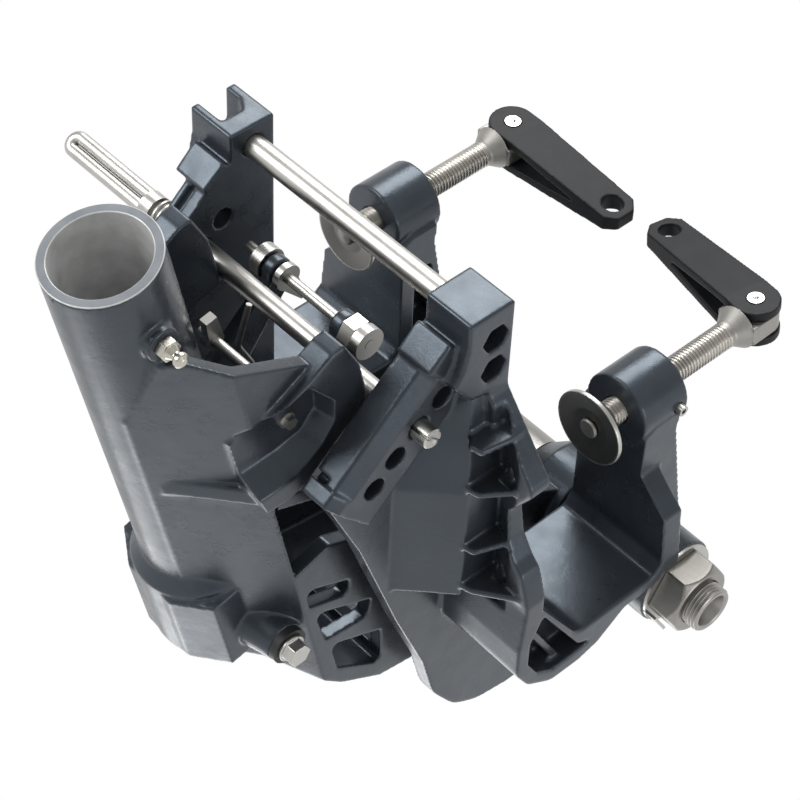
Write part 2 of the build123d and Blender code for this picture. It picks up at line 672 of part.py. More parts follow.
# Clamp screws with pads, handles and handle pins
for side, hand, fold, roll in (
    (-1, "port", fold_port, roll_port), (1, "starboard", fold_starboard, roll_starboard)
):
    pivot = Vector(side * clamp_x, pivot_y, clamp_z)
    roll_angle = radians(roll)
    fold_angle = radians(fold)
    inward = Vector(-side * cos(roll_angle), 0, sin(roll_angle))
    pin_axis = Vector(side * sin(roll_angle), 0, cos(roll_angle))
    reach_dir = inward * cos(fold_angle) + Vector(0, 1, 0) * sin(fold_angle)
    screw_tail = pad_back_y - 2.2
    spigot_head_y = pad_back_y - 4.6 - side_gap
    neck_y = pivot_y - 12.0
    eye_plane = Plane(origin=tuple(pivot), x_dir=tuple(inward), z_dir=tuple(pin_axis))
    with BuildPart() as clamp_screw:
        with BuildSketch(Plane((side * clamp_x, screw_tail, clamp_z), x_dir=(1, 0, 0), z_dir=(0, 1, 0))):
            Circle(screw_radius)
        extrude(amount=neck_y - 6 - screw_tail)
        # Spigot through the pad, with a peened head
        with BuildSketch(Plane.XY.offset(clamp_z)):
            Polygon(
                (side * clamp_x, screw_tail + 1), (side * clamp_x + spigot_radius, screw_tail + 1),
                (side * clamp_x + spigot_radius, spigot_head_y), (side * clamp_x + 4.8, spigot_head_y),
                (side * clamp_x + 4.2, spigot_head_y - 1.6), (side * clamp_x, spigot_head_y - 2.2),
                align=None,
            )
        revolve(axis=Axis((side * clamp_x, 0, clamp_z), (0, 1, 0)))
        # Shoulder that widens into the flat eye
        with BuildSketch(Plane((side * clamp_x, neck_y - 6, clamp_z), x_dir=(1, 0, 0), z_dir=(0, 1, 0))):
            Circle(screw_radius)
        with BuildSketch(Plane((side * clamp_x, neck_y + 0.6, clamp_z), x_dir=(1, 0, 0), z_dir=(0, 1, 0))):
            Circle(eye_radius)
        loft()
        with BuildSketch(eye_plane):
            Circle(eye_radius)
            with Locations((0, side * (pivot_y - neck_y) / 2)):
                Rectangle(2 * eye_radius, pivot_y - neck_y)
        extrude(amount=eye_thickness / 2, both=True)
        with BuildSketch(eye_plane):
            Circle(handle_pin_radius + running_gap)
        extrude(amount=eye_thickness, both=True, mode=Mode.SUBTRACT)
    clamp_screw.part.label = "clamp_screw_" + hand
    export_step(clamp_screw.part, "parts/clamp_screw_" + hand + ".step")

    with BuildPart() as clamp_pad:
        with BuildSketch(Plane.XY.offset(clamp_z)):
            Polygon(
                (side * clamp_x + spigot_radius + side_gap, pad_back_y - 2.6),
                (side * clamp_x + screw_radius + side_gap, pad_back_y - 2.6),
                (side * clamp_x + screw_radius + side_gap, pad_back_y + 2.5),
                (side * clamp_x + 9, pad_back_y + 2.5), (side * clamp_x + 11, pad_back_y),
                (side * clamp_x + pad_radius, pad_rim_y + 2), (side * clamp_x + pad_radius, pad_rim_y),
                (side * clamp_x + 9, pad_back_y - 4.6),
                (side * clamp_x + spigot_radius + side_gap, pad_back_y - 4.6), align=None,
            )
        revolve(axis=Axis((side * clamp_x, 0, clamp_z), (0, 1, 0)))
    clamp_pad.part.label = "clamp_pad_" + hand
    export_step(clamp_pad.part, "parts/clamp_pad_" + hand + ".step")

    # Wedge of two cheeks, joined towards the tip
    flat_plane = Plane(origin=tuple(pivot), x_dir=tuple(reach_dir), z_dir=tuple(pin_axis))
    edge_plane = Plane(
        origin=tuple(pivot), x_dir=tuple(reach_dir), z_dir=tuple(Vector(*pin_axis).cross(Vector(*reach_dir)))
    )
    tip_end = handle_length + handle_tip
    with BuildPart() as clamp_handle:
        with BuildSketch(flat_plane) as handle_face:
            Polygon(
                (0, -handle_end_radius), (tip_end - 5, -9.4), (tip_end, -4.6), (tip_end, 4.6),
                (tip_end - 5, 9.4), (0, handle_end_radius), align=None,
            )
            Circle(handle_end_radius)
        extrude(amount=handle_half_thickness, both=True)
        with BuildSketch(edge_plane):
            Polygon(
                (-handle_end_radius - 1, handle_half_thickness), (8, handle_half_thickness),
                (tip_end + 1, handle_tip_half), (tip_end + 1, -handle_tip_half),
                (8, -handle_half_thickness), (-handle_end_radius - 1, -handle_half_thickness), align=None,
            )
        extrude(amount=handle_end_radius + 2, both=True, mode=Mode.INTERSECT)
        inner_half = handle_half_thickness - handle_cheek
        with BuildSketch(edge_plane):
            Polygon(
                (-handle_end_radius - 2, inner_half), (eye_radius + 3, inner_half), (handle_length - 16, 0.6),
                (handle_length - 16, -0.6), (eye_radius + 3, -inner_half),
                (-handle_end_radius - 2, -inner_half),
                align=None,
            )
        extrude(amount=handle_end_radius + 2, both=True, mode=Mode.SUBTRACT)
        with BuildSketch(flat_plane):
            Circle(handle_pin_radius + running_gap)
            with Locations((handle_length, 0)):
                Circle(handle_hole_radius)
        extrude(amount=handle_half_thickness + 1, both=True, mode=Mode.SUBTRACT)
    clamp_handle.part.label = "clamp_handle_" + hand
    export_step(clamp_handle.part, "parts/clamp_handle_" + hand + ".step")

    with BuildPart() as handle_pin:
        with BuildSketch(flat_plane):
            Circle(handle_pin_radius)
        extrude(amount=handle_half_thickness + 0.3, both=True)
        with BuildSketch(flat_plane.offset(-handle_half_thickness - 0.3)):
            RegularPolygon(1.6, 6)
        extrude(amount=2, mode=Mode.SUBTRACT)
    handle_pin.part.label = "handle_pin_" + hand
    export_step(handle_pin.part, "parts/handle_pin_" + hand + ".step")

# Grub screws in the clamp bosses
with BuildPart() as set_screws:
    for side in (-1, 1):
        with BuildSketch(Plane.YZ.offset(side * (clamp_x + screw_radius + 1))):
            with Locations((set_screw_y, clamp_z)):
                Circle(set_screw_radius)
        extrude(amount=side * (clamp_boss_radius - screw_radius + 1.5))
        with BuildSketch(Plane.YZ.offset(side * (clamp_x + clamp_boss_radius + 1))):
            with Locations((set_screw_y, clamp_z)):
                RegularPolygon(1.4, 6)
        extrude(amount=side * 4, mode=Mode.SUBTRACT)
set_screws.part.label = "boss_set_screws"
export_step(set_screws.part, "parts/boss_set_screws.step")

# Grease nipple on the port side of the steering tube
nipple_y = tube_axis_y(nipple_z)
nipple_seat = -tube_radius - 3.5
with BuildPart() as nipple:
    with BuildSketch(Plane.YZ.offset(nipple_seat)):
        with Locations((nipple_y, nipple_z)):
            Circle(nipple_thread_radius)
    extrude(amount=4)
    with BuildSketch(Plane.YZ.offset(nipple_seat)):
        with Locations((nipple_y, nipple_z)):
            RegularPolygon(nipple_hex / 2 / cos(radians(30)), 6)
    extrude(amount=-4)
    with BuildSketch(Plane((0, nipple_y, nipple_z), x_dir=(-1, 0, 0), z_dir=(0, 0, 1))):
        Polygon(
            (-nipple_seat + 4, 0), (-nipple_seat + 4, 3.2), (-nipple_seat + 6.5, 2), (-nipple_seat + 7.5, 2),
            (-nipple_seat + 8.3, 3.1), (-nipple_seat + 10, 3.1),
            (-nipple_seat + 11.2, 1.4), (-nipple_seat + 11.2, 0),
            align=None,
        )
    revolve(axis=Axis((0, nipple_y, nipple_z), (1, 0, 0)))
nipple.part.label = "steering_grease_nipple"
export_step(nipple.part, "parts/steering_grease_nipple.step")

# Reverse lock shaft with its cam plate, beside the starboard lug
cam_x = 35.3
cam_wall = 2.0
with BuildPart() as lock_shaft:
    with BuildSketch(Plane.YZ.offset(lock_port_end)):
        with Locations((lock_y, lock_z)):
            Circle(lock_radius)
    extrude(amount=lock_starboard_end - lock_port_end)
    with BuildSketch(Plane.YZ.offset(cam_x)) as cam_face:
        with Locations((lock_y, lock_z)):
            Circle(7)
        Polygon(
            (lock_y - 5, lock_z + 5), (lock_y + 6, lock_z + 10), (lock_y + 10, lock_z + 6),
            (lock_y + 6, lock_z - 3), align=None,
        )
    extrude(amount=cam_wall)
lock_shaft.part.label = "reverse_lock_shaft"
export_step(lock_shaft.part, "parts/reverse_lock_shaft.step")

# Washers stacked beside the cam plate
with BuildPart() as lock_washers:
    for step in range(3):
        with BuildSketch(Plane.YZ.offset(cam_x + cam_wall + 0.1 + step * (washer_wall + 0.1))):
            with Locations((lock_y, lock_z)):
                Circle(7)
                Circle(lock_radius + running_gap, mode=Mode.SUBTRACT)
        extrude(amount=washer_wall)
lock_washers.part.label = "lock_shaft_washers"
export_step(lock_washers.part, "parts/lock_shaft_washers.step")

# Ring with a tail, and the nut and collar near the port lug
with BuildPart() as lock_ring:
    with BuildSketch(Plane.YZ.offset(24.5)):
        with Locations((lock_y, lock_z)):
            Circle(6)
        Polygon(
            (lock_y - 3, lock_z + 5), (lock_y + 7, lock_z + 16), (lock_y + 10, lock_z + 14),
            (lock_y + 5, lock_z + 2), align=None,
        )
        with Locations((lock_y, lock_z)):
            Circle(lock_radius + running_gap, mode=Mode.SUBTRACT)
    extrude(amount=3)
lock_ring.part.label = "lock_shaft_ring"
export_step(lock_ring.part, "parts/lock_shaft_ring.step")

with BuildPart() as lock_nut:
    with BuildSketch(Plane.YZ.offset(-18.8)):
        with Locations((lock_y, lock_z)):
            RegularPolygon(7.5, 6)
            Circle(lock_radius + running_gap, mode=Mode.SUBTRACT)
    extrude(amount=6.5)
lock_nut.part.label = "lock_shaft_nut"
export_step(lock_nut.part, "parts/lock_shaft_nut.step")

with BuildPart() as lock_collar:
    with BuildSketch(Plane.YZ.offset(-23.8)):
        with Locations((lock_y, lock_z)):
            Circle(7.2)
            Circle(lock_radius + running_gap, mode=Mode.SUBTRACT)
    extrude(amount=4.6)
lock_collar.part.label = "lock_shaft_collar"
export_step(lock_collar.part, "parts/lock_shaft_collar.step")

# Small cross shaft beside the steering tube, and the lever at its inner end
with BuildPart() as lever_shaft:
    with BuildSketch(Plane.YZ.offset(-side_reach + lever_cover)):
        with Locations((lever_y, lever_z)):
            Circle(lever_radius)
    extrude(amount=side_reach - lever_cover - 8)
lever_shaft.part.label = "lock_lever_shaft"
export_step(lever_shaft.part, "parts/lock_lever_shaft.step")

with BuildPart() as lock_lever:
    with BuildSketch(Plane.YZ.offset(-16)) as lever_face:
        with Locations((lever_y, lever_z)):
            Circle(4.2)
        Polygon(
            (lever_y - 3, lever_z - 2), (lever_y - 4, lever_z - 11), (lever_y + 1, lever_z - 12),
            (lever_y + 4, lever_z - 1), align=None,
        )
        with Locations((lever_y, lever_z)):
            Circle(lever_radius + running_gap, mode=Mode.SUBTRACT)
    extrude(amount=4)
lock_lever.part.label = "lock_lever"
export_step(lock_lever.part, "parts/lock_lever.step")

# Bent wire spring in the hollow, hung from the cross web
spring_radius = 1.2
with BuildPart() as lock_spring:
    with BuildLine(Plane.YZ.offset(-10)) as spring_path:
        FilletPolyline((-158, -129.8), (-160, -172), (-167, -186), (-161, -204), radius=5)
    with BuildSketch(Plane(origin=spring_path.line @ 0, z_dir=spring_path.line % 0)):
        Circle(spring_radius)
    sweep()
lock_spring.part.label = "lock_spring"
export_step(lock_spring.part, "parts/lock_spring.step")

# Side bolt with its black bush
with BuildPart() as side_bush:
    with BuildSketch(Plane.YZ.offset(-side_boss_end)):
        with Locations((side_bolt_y, side_bolt_z)):
            Circle(8.4)
            Circle(3.05, mode=Mode.SUBTRACT)
    extrude(amount=-3.5)
side_bush.part.label = "side_bolt_bush"
export_step(side_bush.part, "parts/side_bolt_bush.step")

with BuildPart() as side_bolt:
    with BuildSketch(Plane.YZ.offset(-side_boss_end - 3.5)):
        with Locations((side_bolt_y, side_bolt_z)):
            Circle(6.4)
    extrude(amount=-1.6)
    with BuildSketch(Plane.YZ.offset(-side_boss_end - 5.1)):
        with Locations((side_bolt_y, side_bolt_z)):
            RegularPolygon(5.6, 6)
    extrude(amount=-5)
    with BuildSketch(Plane.YZ.offset(-side_boss_end - 3.5)):
        with Locations((side_bolt_y, side_bolt_z)):
            Circle(3)
    extrude(amount=16)
side_bolt.part.label = "side_bolt"
export_step(side_bolt.part, "parts/side_bolt.step")

# Small screws in the pockets of the wings
with BuildPart() as wing_screws:
    for side in (-1, 1):
        with BuildSketch(Plane.YZ.offset(side * tray_reach)):
            with Locations((wing_screw_y, wing_screw_z)):
                Circle(3.6)
        extrude(amount=side * 1.2)
        with BuildSketch(Plane.YZ.offset(side * (tray_reach + 1.2))):
            with Locations((wing_screw_y, wing_screw_z)):
                RegularPolygon(2.9, 6)
        extrude(amount=side * 2.6)
        with BuildSketch(Plane.YZ.offset(side * (side_reach - side_wall))):
            with Locations((wing_screw_y, wing_screw_z)):
                Circle(wing_screw_radius)
        extrude(amount=side * (tray_reach - side_reach + side_wall))
wing_screws.part.label = "wing_screws"
export_step(wing_screws.part, "parts/wing_screws.step")
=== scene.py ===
import json
from math import pi, radians

import bpy
import numpy as np
from mathutils import Matrix, Vector


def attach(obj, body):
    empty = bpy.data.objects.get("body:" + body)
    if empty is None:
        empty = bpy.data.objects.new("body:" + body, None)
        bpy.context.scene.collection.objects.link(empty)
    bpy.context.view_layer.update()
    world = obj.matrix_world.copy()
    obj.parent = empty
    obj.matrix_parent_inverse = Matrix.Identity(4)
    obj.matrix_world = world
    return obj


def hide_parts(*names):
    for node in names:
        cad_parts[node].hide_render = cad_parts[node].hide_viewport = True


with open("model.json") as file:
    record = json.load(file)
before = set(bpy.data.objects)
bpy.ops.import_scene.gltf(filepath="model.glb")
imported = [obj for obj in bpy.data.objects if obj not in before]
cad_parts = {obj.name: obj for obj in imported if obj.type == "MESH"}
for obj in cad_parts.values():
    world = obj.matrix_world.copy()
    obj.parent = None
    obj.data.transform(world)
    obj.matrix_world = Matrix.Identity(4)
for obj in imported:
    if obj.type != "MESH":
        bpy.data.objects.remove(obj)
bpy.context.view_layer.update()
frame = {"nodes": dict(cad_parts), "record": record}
nodes = frame["nodes"]
scene = bpy.context.scene
mm = 0.001

print("frame loaded")

# Camera and studio

camera = {
    "place": (-0.5358, -0.5950, -0.8874),
    "right": (-0.67324, 0.73870, -0.03276),
    "up": (0.55682, 0.47733, -0.67978),
    "lens": 117.28,
    "near": 0.05,
    "far": 50,
}

studio = {
    "floorHeight": -1.6,
    "floorSize": 14,
    "floorColour": (0.80, 0.80, 0.79),
    "fillLevel": 0.62,
    "lamps": (
        # name, place, size, watts
        ("lowForeLamp", (0.55, 0.62, -1.05), 0.8, 13),
        ("lowAftLamp", (0.62, -0.85, -0.95), 0.7, 11),
        ("sideLamp", (-1.25, 0.1, -0.25), 0.6, 3),
        ("topLamp", (0.2, -0.4, 1.3), 1.0, 6),
    ),
    "aim": (0, -0.09, -0.11),
}


def addCamera(settings):
    right, up = Vector(settings["right"]).normalized(), Vector(settings["up"]).normalized()
    back = right.cross(up)
    turn = Matrix((right, up, back)).transposed().to_4x4()
    data = bpy.data.cameras.new("photoCamera")
    data.lens = settings["lens"]
    data.clip_start = settings["near"]
    data.clip_end = settings["far"]
    view = bpy.data.objects.new("photoCamera", data)
    view.matrix_world = Matrix.Translation(settings["place"]) @ turn
    scene.collection.objects.link(view)
    scene.camera = view


def addLamp(name, place, size, watts, aim):
    data = bpy.data.lights.new(name, "AREA")
    data.shape = "DISK"
    data.size = size
    data.energy = watts
    lamp = bpy.data.objects.new(name, data)
    lamp.location = place
    lamp.rotation_euler = (Vector(aim) - Vector(place)).to_track_quat("-Z", "Y").to_euler()
    lamp.visible_camera = False
    scene.collection.objects.link(lamp)


# The fill lights the object, and a plain white shows to the camera and in reflections
def addWorld(fillLevel):
    world = bpy.data.worlds.new("paleStudio")
    world.use_nodes = True
    scene.world = world
    tree = world.node_tree
    tree.nodes.clear()
    path = tree.nodes.new("ShaderNodeLightPath")
    shown = tree.nodes.new("ShaderNodeBackground")
    shown.inputs["Color"].default_value = (1, 1, 1, 1)
    fill = tree.nodes.new("ShaderNodeBackground")
    fill.inputs["Color"].default_value = (1, 1, 1, 1)
    fill.inputs["Strength"].default_value = fillLevel
    seen = path.outputs["Is Camera Ray"]
    for ray in ("Is Glossy Ray", "Is Transmission Ray"):
        either = tree.nodes.new("ShaderNodeMath")
        either.operation = "MAXIMUM"
        tree.links.new(seen, either.inputs[0])
        tree.links.new(path.outputs[ray], either.inputs[1])
        seen = either.outputs[0]
    mix = tree.nodes.new("ShaderNodeMixShader")
    out = tree.nodes.new("ShaderNodeOutputWorld")
    tree.links.new(seen, mix.inputs[0])
    tree.links.new(fill.outputs[0], mix.inputs[1])
    tree.links.new(shown.outputs[0], mix.inputs[2])
    tree.links.new(mix.outputs[0], out.inputs["Surface"])


addCamera(camera)
addWorld(studio["fillLevel"])
for name, place, size, watts in studio["lamps"]:
    addLamp(name, place, size, watts, studio["aim"])
scene.view_settings.view_transform = "Standard"

print("camera and studio set")


# Materials

def newMaterial(name):
    material = bpy.data.materials.new(name)
    material.use_nodes = True
    tree = material.node_tree
    shader = tree.nodes["Principled BSDF"]
    place = tree.nodes.new("ShaderNodeTexCoord").outputs["Object"]
    return material, tree, shader, place


def addNoise(tree, place, scale, detail=4.0, rough=0.5):
    noise = tree.nodes.new("ShaderNodeTexNoise")
    noise.inputs["Scale"].default_value = scale
    noise.inputs["Detail"].default_value = detail
    noise.inputs["Roughness"].default_value = rough
    tree.links.new(place, noise.inputs["Vector"])
    return noise.outputs["Fac"]


def addRamp(tree, value, low, high, stops=(0.3, 0.7)):
    ramp = tree.nodes.new("ShaderNodeValToRGB")
    ramp.color_ramp.elements[0].position, ramp.color_ramp.elements[1].position = stops
    ramp.color_ramp.elements[0].color = (*low, 1)
    ramp.color_ramp.elements[1].color = (*high, 1)
    tree.links.new(value, ramp.inputs[0])
    return ramp.outputs["Color"]


def addBump(tree, shader, height, strength, distance, base=None):
    bump = tree.nodes.new("ShaderNodeBump")
    bump.inputs["Strength"].default_value = strength
    bump.inputs["Distance"].default_value = distance
    tree.links.new(height, bump.inputs["Height"])
    if base is not None:
        tree.links.new(base, bump.inputs["Normal"])
    tree.links.new(bump.outputs["Normal"], shader.inputs["Normal"])
    return bump.outputs["Normal"]


paintLook = {
    "low": (0.018, 0.0215, 0.027),
    "high": (0.029, 0.0345, 0.043),
    "metallic": 0.0,
    "specular": 0.62,
    "tint": (0.74, 0.87, 1.0, 1),
    "roughLow": 0.24,
    "roughHigh": 0.36,
    "patchScale": 40,
    "roughScale": 90,
    # scale, strength and height of the paint's peel and of its fine grain
    "peel": (260, 0.10, 0.0006),
    "grain": (1500, 0.16, 0.0002),
}
metalLook = {
    "darker": 0.88,
    "smoother": 0.92,
    "rougher": 1.08,
    "streakScale": 260,
    "grainScale": 1400,
    "grainHeight": 0.0001,
}
dullLook = {
    "patchScale": 120,
    "grainScale": 1200,
    "grainHeight": 0.0002,
}


def makePaint(look):
    material, tree, shader, place = newMaterial("blueGreyPaint")
    patch = addNoise(tree, place, look["patchScale"], 3)
    tree.links.new(addRamp(tree, patch, look["low"], look["high"]), shader.inputs["Base Color"])
    shader.inputs["Metallic"].default_value = look["metallic"]
    shader.inputs["Specular IOR Level"].default_value = look["specular"]
    shader.inputs["Specular Tint"].default_value = look["tint"]
    cloud = addNoise(tree, place, look["roughScale"], 4)
    rough = addRamp(tree, cloud, (look["roughLow"],) * 3, (look["roughHigh"],) * 3)
    tree.links.new(rough, shader.inputs["Roughness"])
    scale, strength, height = look["peel"]
    peel = addBump(tree, shader, addNoise(tree, place, scale, 2), strength, height)
    scale, strength, height = look["grain"]
    addBump(tree, shader, addNoise(tree, place, scale, 2), strength, height, peel)
    return material


def makeMetal(name, colour, rough, grain, scale=(1, 1, 1)):
    material, tree, shader, place = newMaterial(name)
    low = tuple(c * metalLook["darker"] for c in colour)
    mapping = tree.nodes.new("ShaderNodeMapping")
    mapping.inputs["Scale"].default_value = scale
    tree.links.new(place, mapping.inputs["Vector"])
    streak = addNoise(tree, mapping.outputs["Vector"], metalLook["streakScale"], 5, 0.6)
    tree.links.new(addRamp(tree, streak, low, colour), shader.inputs["Base Color"])
    shader.inputs["Metallic"].default_value = 1
    smoother, rougher = (rough * metalLook["smoother"],) * 3, (rough * metalLook["rougher"],) * 3
    tree.links.new(addRamp(tree, streak, smoother, rougher), shader.inputs["Roughness"])
    fine = addNoise(tree, mapping.outputs["Vector"], metalLook["grainScale"], 2)
    addBump(tree, shader, fine, grain, metalLook["grainHeight"])
    return material


def makeDull(name, low, high, rough, grain, metallic=0.0, specular=0.5):
    material, tree, shader, place = newMaterial(name)
    patch = addNoise(tree, place, dullLook["patchScale"], 4)
    tree.links.new(addRamp(tree, patch, low, high), shader.inputs["Base Color"])
    shader.inputs["Roughness"].default_value = rough
    shader.inputs["Metallic"].default_value = metallic
    shader.inputs["Specular IOR Level"].default_value = specular
    addBump(tree, shader, addNoise(tree, place, dullLook["grainScale"], 3), grain, dullLook["grainHeight"])
    return material


finishes = {
    "casting_paint": makePaint(paintLook),
    # The pattern runs round the pins, so it changes faster along X than across
    "stainless": makeMetal("turnedStainless", (0.50, 0.49, 0.465), 0.36, 0.0, (0.6, 0.25, 0.25)),
    "plain_steel": makeMetal("plainSteel", (0.36, 0.35, 0.33), 0.38, 0.1),
    "handle_black": makeDull(
        "blackHandlePaint", (0.006, 0.0065, 0.008), (0.010, 0.011, 0.013), 0.5, 0.08, specular=0.22
    ),
    "bush_plastic": makeDull("blackBush", (0.008, 0.008, 0.008), (0.015, 0.015, 0.015), 0.55, 0.1),
    "nipple_brass": makeMetal("platedNipple", (0.52, 0.50, 0.44), 0.28, 0.08),
}
boredMetal = makeDull("boredCasting", (0.50, 0.505, 0.50), (0.66, 0.665, 0.66), 0.4, 0.15, 0.25)
ringMetal = makeDull("facedRing", (0.17, 0.185, 0.205), (0.22, 0.235, 0.255), 0.42, 0.1, 0.3)
threadSteel = makeMetal("rolledThreadSteel", (0.50, 0.475, 0.44), 0.34, 0.05)
forgedSteel = makeMetal("forgedEyeSteel", (0.34, 0.33, 0.31), 0.5, 0.25)
rivetSteel = makeMetal("rivetSteel", (0.75, 0.74, 0.72), 0.25, 0.03)
darkSteel = makeMetal("darkPadSteel", (0.20, 0.19, 0.18), 0.38, 0.2)
nutSteel = makeMetal("dullNutSteel", (0.30, 0.29, 0.27), 0.34, 0.16, (0.5, 2, 2))
floorFinish = makeDull("paleFloor", studio["floorColour"], studio["floorColour"], 0.8, 0.0)

slotOf = {entry["node"]: entry["material_slot"] for entry in frame["record"]["subparts"]}
for name, node in nodes.items():
    node.data.materials.clear()
    node.data.materials.append(finishes[slotOf[name]])

print("materials made")


# Pieces with rounded edges, from a merged copy of the node's solid

rounding = {
    "mergeDistance": 0.00001,
    "smoothFactor": 0.5,
    "triangleLimit": 190000,
}


def bakeModifiers(piece):
    baked = bpy.data.meshes.new_from_object(piece.evaluated_get(bpy.context.evaluated_depsgraph_get()))
    piece.modifiers.clear()
    piece.data = baked
    return baked


def roundedCopy(nodeName, pieceName, body, finish, voxel, rounds):
    node = nodes[nodeName]
    piece = bpy.data.objects.new(pieceName, node.data.copy())
    scene.collection.objects.link(piece)
    weld = piece.modifiers.new("weld", "WELD")
    weld.merge_threshold = rounding["mergeDistance"]
    remesh = piece.modifiers.new("remesh", "REMESH")
    remesh.mode = "VOXEL"
    remesh.voxel_size = voxel * mm
    smooth = piece.modifiers.new("smooth", "SMOOTH")
    smooth.factor = rounding["smoothFactor"]
    smooth.iterations = rounds
    baked = bakeModifiers(piece)
    baked.calc_loop_triangles()
    triangles = len(baked.loop_triangles)
    if triangles > rounding["triangleLimit"]:
        thin = piece.modifiers.new("thin", "DECIMATE")
        thin.ratio = rounding["triangleLimit"] / triangles
        baked = bakeModifiers(piece)
    baked.materials.clear()
    baked.materials.append(finish)
    baked.shade_smooth()
    print(pieceName, triangles, "triangles before thinning")
    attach(piece, body)
    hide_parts(nodeName)
    return piece


def readPoints(mesh):
    points = np.empty(len(mesh.vertices) * 3)
    mesh.vertices.foreach_get("co", points)
    return points.reshape(-1, 3)


def readFaces(mesh):
    centres = np.empty(len(mesh.polygons) * 3)
    mesh.polygons.foreach_get("center", centres)
    normals = np.empty(len(mesh.polygons) * 3)
    mesh.polygons.foreach_get("normal", normals)
    return centres.reshape(-1, 3) / mm, normals.reshape(-1, 3)


def writePoints(mesh, points):
    mesh.vertices.foreach_set("co", points.ravel())
    mesh.update()


def profileSheet(name, along, radii, sides, axis, offset=(0, 0, 0)):
    # Each row of the closed profile has a place along the axis and a radius for every turn angle.
    # A point lies at that place, with the radius times the cosine and sine of the angle across.
    turn = np.linspace(0, 2 * pi, sides, endpoint=False)
    s = np.repeat(along[:, None], sides, axis=1)
    across = (radii * np.cos(turn), radii * np.sin(turn))
    order = {"x": (s, *across), "y": (across[1], s, across[0]), "z": (*across, s)}[axis]
    points = (np.stack(order, axis=2).reshape(-1, 3) + np.array(offset)) * mm
    rows = len(along)
    i, j = np.meshgrid(np.arange(rows), np.arange(sides), indexing="ij")
    after, beside = (i + 1) % rows, (j + 1) % sides
    faces = np.stack((i * sides + j, i * sides + beside, after * sides + beside, after * sides + j), axis=2)
    mesh = bpy.data.meshes.new(name)
    mesh.from_pydata(points.tolist(), [], faces.reshape(-1, 4).tolist())
    mesh.update()
    mesh.shade_smooth()
    piece = bpy.data.objects.new(name, mesh)
    scene.collection.objects.link(piece)
    return piece


castings = (
    # node, piece, body
    ("clamp_bracket_port", "portBracketCasting", "clamp_brackets"),
    ("clamp_bracket_starboard", "starboardBracketCasting", "clamp_brackets"),
    ("swivel_bracket", "swivelCasting", "swivel"),
)
castingRounding = {"voxel": 0.8, "rounds": 4}

made = {}
for nodeName, pieceName, body in castings:
    made[pieceName] = roundedCopy(
        nodeName, pieceName, body, finishes["casting_paint"],
        castingRounding["voxel"], castingRounding["rounds"],
    )

# Bare metal in the steering bore and on the faced ring at its mouth
steeringTube = {
    "mouth": (0, -219.2, -258.4),
    "lean": 11.77,
    "length": 234.0,
    "boreRadius": 19.2,
    "wallRadius": 23.0,
    "edge": 0.35,          # chamfer of the faced ring
    "edgeBand": 0.1,       # narrow rows that keep the ring's edges crisp
    "cover": 0.05,         # how far the lining stands in front of the casting's bore
    "lining": 0.5,         # thickness of the lining
    "ringHeight": 1.2,
    "ringBack": 0.4,
    "ringCover": 0.02,
    "sinkBelow": 0.5,
    "sinkTo": 0.7,
    "widenBelow": 0.25,
    "widenTo": 0.3,
    "reach": 0.5,
    "sides": 128,
}


def makeLining(look):
    # Profile of height and radius: faced ring, edge, bore wall, then back inside the casting's wall
    bore, wall = look["boreRadius"] - look["cover"], look["wallRadius"]
    edge, band = look["edge"], look["edgeBand"]
    top, back = look["length"] - 1, bore + look["lining"]
    profile = np.array((
        (edge, wall + look["ringCover"]), (0, wall - edge), (0, wall - edge - band),
        (0, bore + edge + band), (0, bore + edge), (edge, bore), (edge + 2 * band, bore),
        (top * 0.5, bore), (top, bore), (top, back),
        (look["ringHeight"], back), (look["ringHeight"], wall - look["ringBack"]),
    ))[::-1]
    radii = np.repeat(profile[:, 1:], look["sides"], axis=1)
    lining = profileSheet("boredLining", profile[:, 0], radii, look["sides"], "z")
    turn = np.array(Matrix.Rotation(-radians(look["lean"]), 3, "X"))
    writePoints(lining.data, readPoints(lining.data) @ turn.T + np.array(look["mouth"]) * mm)
    return lining


def sinkMouth(piece, look):
    # The casting's own ring steps back behind the faced ring, and its bore behind the lining
    lean = radians(look["lean"])
    along = np.array((0, np.sin(lean), np.cos(lean)))
    points = readPoints(piece.data) / mm - np.array(look["mouth"])
    height = points @ along
    across = points - height[:, None] * along
    radius = np.linalg.norm(across, axis=1)
    sink = (height < look["sinkBelow"]) & (radius < look["wallRadius"] + look["reach"])
    widen = (radius < look["boreRadius"] + look["widenBelow"]) & (height < look["length"] - 2)
    wider = (look["boreRadius"] + look["widenTo"]) / np.maximum(radius, 1)
    across = np.where(widen[:, None], across * wider[:, None], across)
    height = np.where(sink, look["sinkTo"], height)
    writePoints(piece.data, (across + height[:, None] * along + np.array(look["mouth"])) * mm)


sinkMouth(made["swivelCasting"], steeringTube)
lining = makeLining(steeringTube)
lining.data.materials.append(boredMetal)
lining.data.materials.append(ringMetal)
centres, normals = readFaces(lining.data)
facedRing = normals[:, 2] < -0.9
lining.data.polygons.foreach_set("material_index", facedRing.astype(np.int32))
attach(lining, "swivel")
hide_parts("swivel_bracket")

print("castings rounded")

# Clamp screws with a rolled thread

clampScrews = {
    "x": 75.0,
    "z": -100.1,
    "crest": 6.0,
    "pitch": 1.75,
    "depth": 0.95,
    "start": -31.0,
    "end": 45.5,
    "runout": 1.5,
    "taper": 0.8,          # the free end's chamfer
    "core": 4.6,           # radius of the shank inside the thread
    "overlap": 0.4,        # how far the thread's inner wall lies inside that shank
    "margin": 0.5,
    "reach": 0.6,
    "samples": 10,
    "sides": 48,
    "dishRadius": 16.6,    # the pad's dish, and how far its faces look aft
    "dishFacing": -0.3,
    # voxel and smoothing rounds
    "eyeRounding": (0.4, 10),
    "handleRounding": (0.45, 4),
    "padRounding": (0.35, 2),
}


